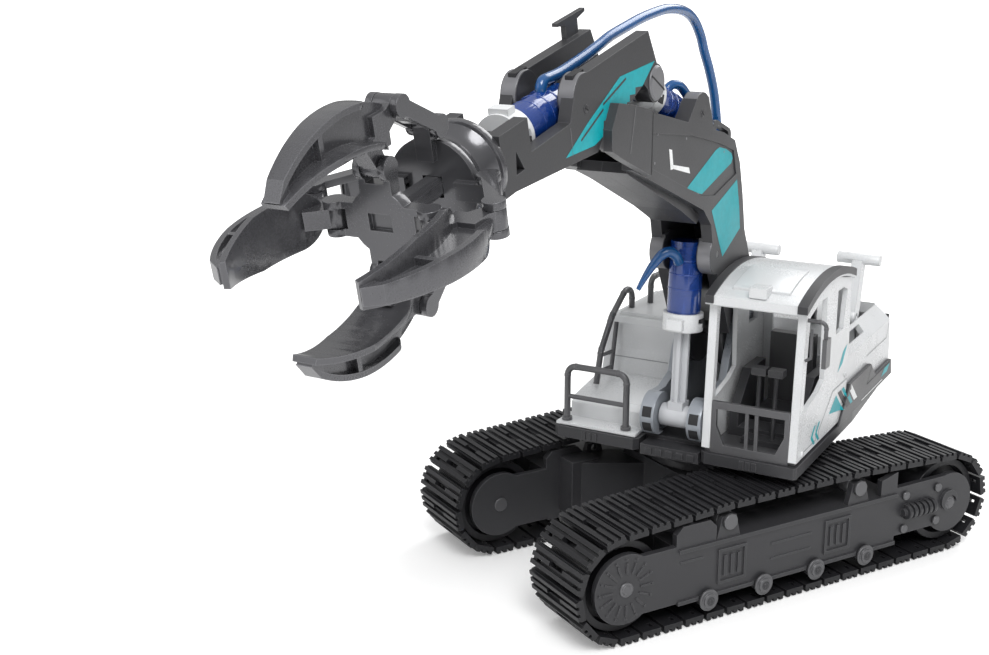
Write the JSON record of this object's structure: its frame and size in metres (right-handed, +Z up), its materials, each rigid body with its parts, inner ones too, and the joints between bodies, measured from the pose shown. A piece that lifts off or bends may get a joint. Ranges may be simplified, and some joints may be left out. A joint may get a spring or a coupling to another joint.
{
  "type": "hydraulic excavator arm kit",
  "caption": "Desk-top water-hydraulic excavator kit with crawler tracks, turning cab body, boom and arm moved by cylinders, control levers and a claw grapple.",
  "frame": {"origin": "on the ground under the slew axis, midway between the four wheels", "axes": "+X forward along the tracks, +Y to the left, +Z up along the slew axis; the upper body rests turned 30.4 degrees to the left"},
  "size_m": [0.374, 0.2652, 0.2365],
  "materials": {
    "dark_plastic": "satin",
    "black_plastic": "matte",
    "white_plastic": "semi-gloss",
    "grey_plastic": "satin",
    "pale_plastic": "satin",
    "blue_clear": "clear gloss",
    "hose": "clear flexible tube"
  },
  "bodies": {
    "undercarriage": {"chassis": "dark_plastic", "frame_left_outer": "dark_plastic", "frame_left_inner": "dark_plastic", "frame_right_outer": "dark_plastic", "frame_right_inner": "dark_plastic", "track_left": "black_plastic", "track_right": "black_plastic", "track_rollers": "grey_plastic", "wheel_axles": "grey_plastic", "frame_bolts": "grey_plastic"},
    "front_left_wheel": {"wheel_front_left": "black_plastic"},
    "rear_left_wheel": {"wheel_rear_left": "black_plastic"},
    "front_right_wheel": {"wheel_front_right": "black_plastic"},
    "rear_right_wheel": {"wheel_rear_right": "black_plastic"},
    "upper_body": {"deck": "dark_plastic", "tank_box": "white_plastic", "engine_hood": "white_plastic", "side_panels": "dark_plastic", "counterweight": "dark_plastic", "cab_base": "grey_plastic", "cab_frame": "white_plastic", "cab_roof": "white_plastic", "cab_interior": "grey_plastic", "mirror": "grey_plastic", "handrails": "grey_plastic", "boom_brackets": "pale_plastic", "upper_pins": "grey_plastic", "master_barrels": "blue_clear"},
    "boom_lever_body": {"boom_lever": "white_plastic"},
    "arm_lever_body": {"arm_lever": "white_plastic"},
    "grapple_lever_body": {"grapple_lever": "white_plastic"},
    "boom_plunger_body": {"boom_plunger": "white_plastic"},
    "arm_plunger_body": {"arm_plunger": "white_plastic"},
    "grapple_plunger_body": {"grapple_plunger": "white_plastic"},
    "boom": {"boom_left": "dark_plastic", "boom_right": "dark_plastic", "boom_pins": "grey_plastic", "boom_hoses": "hose"},
    "boom_cylinder": {"boom_barrel": "blue_clear", "boom_cap": "white_plastic"},
    "boom_piston": {"boom_rod": "white_plastic"},
    "arm": {"arm_left": "dark_plastic", "arm_right": "dark_plastic", "arm_pins": "grey_plastic", "grapple_drum": "grey_plastic", "grapple_barrel": "blue_clear", "grapple_cap": "white_plastic", "grapple_hose": "hose"},
    "arm_cylinder": {"arm_barrel": "blue_clear", "arm_cap": "white_plastic"},
    "arm_piston": {"arm_rod": "white_plastic"},
    "grapple_spider": {"spider": "grey_plastic"},
    "top_link": {"link_top": "grey_plastic"},
    "right_link": {"link_right": "grey_plastic"},
    "bottom_link": {"link_bottom": "grey_plastic"},
    "left_link": {"link_left": "grey_plastic"},
    "top_claw": {"claw_top": "grey_plastic"},
    "right_claw": {"claw_right": "grey_plastic"},
    "bottom_claw": {"claw_bottom": "grey_plastic"},
    "left_claw": {"claw_left": "grey_plastic"}
  },
  "joints": [
    {"name": "slew", "type": "hinge", "parent": "undercarriage", "child": "upper_body", "pos_m": [0, 0, 0.05], "axis": [0, 0, 1], "continuous": true},
    {"name": "front_left_wheel_spin", "type": "hinge", "parent": "undercarriage", "child": "front_left_wheel", "pos_m": [0.085, 0.04675, 0.0225], "axis": [0, 1, 0], "continuous": true},
    {"name": "rear_left_wheel_spin", "type": "hinge", "parent": "undercarriage", "child": "rear_left_wheel", "pos_m": [-0.085, 0.04675, 0.0225], "axis": [0, 1, 0], "continuous": true},
    {"name": "front_right_wheel_spin", "type": "hinge", "parent": "undercarriage", "child": "front_right_wheel", "pos_m": [0.085, -0.04675, 0.0225], "axis": [0, 1, 0], "continuous": true},
    {"name": "rear_right_wheel_spin", "type": "hinge", "parent": "undercarriage", "child": "rear_right_wheel", "pos_m": [-0.085, -0.04675, 0.0225], "axis": [0, 1, 0], "continuous": true},
    {"name": "boom_lift", "type": "hinge", "parent": "upper_body", "child": "boom", "pos_m": [-0.00863, -0.00506, 0.095], "axis": [0.506, -0.8625, 0], "range_deg": [-20, 12]},
    {"name": "boom_cylinder_tilt", "type": "hinge", "parent": "boom", "child": "boom_cylinder", "pos_m": [0.02415, 0.01417, 0.136], "axis": [0.506, -0.8625, 0], "range_deg": [-5.5, 8.99]},
    {"name": "boom_piston_slide", "type": "slide", "parent": "boom_cylinder", "child": "boom_piston", "axis": [0.0499, 0.0293, -0.9983], "range_m": [-0.01484, 0.00906]},
    {"name": "arm_lift", "type": "hinge", "parent": "boom", "child": "arm", "pos_m": [0.10781, 0.06325, 0.1965], "axis": [0.506, -0.8625, 0], "range_deg": [-22, 3], "deforming": ["grapple_hose"]},
    {"name": "arm_cylinder_tilt", "type": "hinge", "parent": "boom", "child": "arm_cylinder", "pos_m": [0.04313, 0.0253, 0.194], "axis": [0.506, -0.8625, 0], "range_deg": [-1.32, 8.47]},
    {"name": "arm_piston_slide", "type": "slide", "parent": "arm_cylinder", "child": "arm_piston", "axis": [0.8195, 0.4808, 0.3118], "range_m": [-0.00164, 0.01014]},
    {"name": "grapple_slide", "type": "slide", "parent": "arm", "child": "grapple_spider", "axis": [0.8404, 0.4931, -0.225], "range_m": [-0.0081, 0.003]},
    {"name": "top_link_swing", "type": "hinge", "parent": "arm", "child": "top_link", "pos_m": [0.19032, 0.11166, 0.20633], "axis": [0.506, -0.8625, 0], "range_deg": [-4.54, 11.41]},
    {"name": "top_claw_swing", "type": "hinge", "parent": "grapple_spider", "child": "top_claw", "pos_m": [0.21165, 0.12418, 0.19785], "axis": [0.506, -0.8625, 0], "range_deg": [-22.78, 8.75]},
    {"name": "right_link_swing", "type": "hinge", "parent": "arm", "child": "right_link", "pos_m": [0.19582, 0.09448, 0.18918], "axis": [-0.194, -0.1138, -0.9744], "range_deg": [-4.54, 11.41]},
    {"name": "right_claw_swing", "type": "hinge", "parent": "grapple_spider", "child": "right_claw", "pos_m": [0.2163, 0.10963, 0.18333], "axis": [-0.194, -0.1138, -0.9744], "range_deg": [-22.78, 8.75]},
    {"name": "bottom_link_swing", "type": "hinge", "parent": "arm", "child": "bottom_link", "pos_m": [0.1835, 0.10766, 0.17203], "axis": [-0.506, 0.8625, 0], "range_deg": [-4.54, 11.41]},
    {"name": "bottom_claw_swing", "type": "hinge", "parent": "grapple_spider", "child": "bottom_claw", "pos_m": [0.20587, 0.12078, 0.16882], "axis": [-0.506, 0.8625, 0], "range_deg": [-22.78, 8.75]},
    {"name": "left_link_swing", "type": "hinge", "parent": "arm", "child": "left_link", "pos_m": [0.178, 0.12484, 0.18918], "axis": [0.194, 0.1138, 0.9744], "range_deg": [-4.54, 11.41]},
    {"name": "left_claw_swing", "type": "hinge", "parent": "grapple_spider", "child": "left_claw", "pos_m": [0.20122, 0.13533, 0.18333], "axis": [0.194, 0.1138, 0.9744], "range_deg": [-22.78, 8.75]},
    {"name": "boom_plunger_slide", "type": "slide", "parent": "upper_body", "child": "boom_plunger_body", "axis": [0.8625, 0.506, 0], "range_m": [-0.01474, 0.00896]},
    {"name": "boom_lever_swing", "type": "hinge", "parent": "upper_body", "child": "boom_lever_body", "pos_m": [-0.08188, 0.00123, 0.092], "axis": [0.506, -0.8625, 0], "range_deg": [-35.47, 21.68]},
    {"name": "arm_plunger_slide", "type": "slide", "parent": "upper_body", "child": "arm_plunger_body", "axis": [0.8625, 0.506, 0], "range_m": [-0.00719, 0.00124]},
    {"name": "arm_lever_swing", "type": "hinge", "parent": "upper_body", "child": "arm_lever_body", "pos_m": [-0.05785, -0.03973, 0.092], "axis": [0.506, -0.8625, 0], "range_deg": [-17.45, 3.24]},
    {"name": "grapple_plunger_slide", "type": "slide", "parent": "upper_body", "child": "grapple_plunger_body", "axis": [0.8625, 0.506, 0], "range_m": [-0.01002, 0.0039]},
    {"name": "grapple_lever_swing", "type": "hinge", "parent": "upper_body", "child": "grapple_lever_body", "pos_m": [-0.04216, -0.06647, 0.092], "axis": [0.506, -0.8625, 0], "range_deg": [-24.2, 9.59]}
  ],
  "couplings": [
    {"joint": "rear_left_wheel_spin", "follows": "front_left_wheel_spin", "ratio": 1},
    {"joint": "rear_right_wheel_spin", "follows": "front_right_wheel_spin", "ratio": 1},
    {"joint": "boom_cylinder_tilt", "follows": "boom_lift", "ratio": -0.4355},
    {"joint": "boom_piston_slide", "follows": "boom_lift", "m_per_rad": 0.041368},
    {"joint": "arm_cylinder_tilt", "follows": "arm_lift", "ratio": -0.3763},
    {"joint": "arm_piston_slide", "follows": "arm_lift", "m_per_rad": -0.025641},
    {"joint": "top_link_swing", "follows": "grapple_slide", "rad_per_m": -23.5},
    {"joint": "top_claw_swing", "follows": "grapple_slide", "rad_per_m": 48},
    {"joint": "right_link_swing", "follows": "grapple_slide", "rad_per_m": -23.5},
    {"joint": "right_claw_swing", "follows": "grapple_slide", "rad_per_m": 48},
    {"joint": "bottom_link_swing", "follows": "grapple_slide", "rad_per_m": -23.5},
    {"joint": "bottom_claw_swing", "follows": "grapple_slide", "rad_per_m": 48},
    {"joint": "left_link_swing", "follows": "grapple_slide", "rad_per_m": -23.5},
    {"joint": "left_claw_swing", "follows": "grapple_slide", "rad_per_m": 48},
    {"joint": "boom_plunger_slide", "follows": "boom_lift", "m_per_rad": 0.041368},
    {"joint": "boom_lever_swing", "follows": "boom_lift", "ratio": 1.7237},
    {"joint": "arm_plunger_slide", "follows": "arm_lift", "m_per_rad": 0.017949},
    {"joint": "arm_lever_swing", "follows": "arm_lift", "ratio": 0.74787},
    {"joint": "grapple_plunger_slide", "follows": "grapple_slide", "ratio": 1.2},
    {"joint": "grapple_lever_swing", "follows": "grapple_slide", "rad_per_m": 50}
  ]
}
